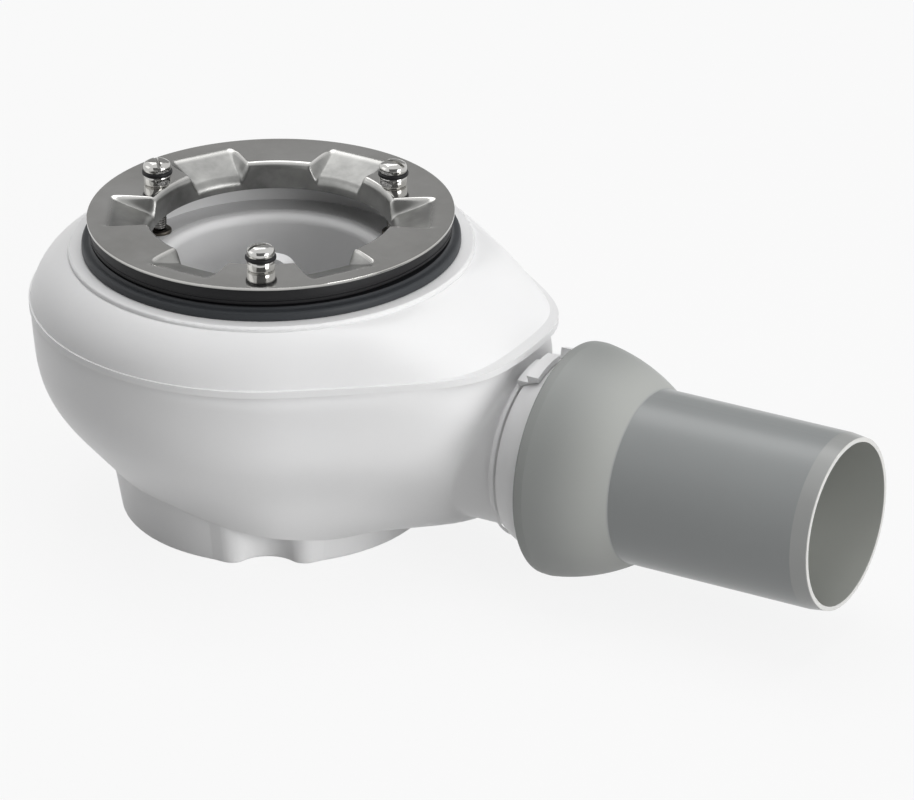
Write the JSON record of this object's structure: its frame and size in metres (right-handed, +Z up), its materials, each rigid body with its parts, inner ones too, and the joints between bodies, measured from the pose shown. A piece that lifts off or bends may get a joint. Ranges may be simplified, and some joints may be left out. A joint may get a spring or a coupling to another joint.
{
  "type": "shower trap",
  "caption": "Low round shower trap with a steel clamp ring on a rubber gasket, a lift-out dip tube and a horizontal outlet pipe on a ball joint.",
  "frame": {"origin": "centre of the underside of the foot, on the throat axis", "axes": "+X along the outlet towards the pipe end, +Z up along the throat axis"},
  "size_m": [0.2538, 0.1396, 0.0971],
  "materials": {
    "white_plastic": "satin moulded polypropylene",
    "grey_plastic": "satin moulded polypropylene",
    "black_rubber": "matt moulded rubber",
    "sheet_steel": "stamped stainless sheet",
    "bright_steel": "turned and polished",
    "insert_brass": "turned"
  },
  "bodies": {
    "trap": {"upper_shell": "white_plastic", "lower_shell": "white_plastic", "dip_tube": "white_plastic", "dip_tube_seal": "black_rubber", "rim_gasket": "black_rubber", "flange_ring": "sheet_steel", "flange_screws": "bright_steel", "screw_seals": "black_rubber", "thread_inserts": "insert_brass", "outlet_lock_ring": "white_plastic"},
    "swivel": {"ball_seal": "black_rubber"},
    "outlet": {"outlet_pipe": "grey_plastic"}
  },
  "joints": [
    {"name": "outlet_swivel", "type": "hinge", "parent": "trap", "child": "swivel", "pos_m": [0.102, 0, 0.035], "axis": [1, 0, 0], "continuous": true},
    {"name": "outlet_tilt", "type": "hinge", "parent": "swivel", "child": "outlet", "pos_m": [0.102, 0, 0.035], "axis": [0, 1, 0], "range_deg": [-5, 5]}
  ]
}
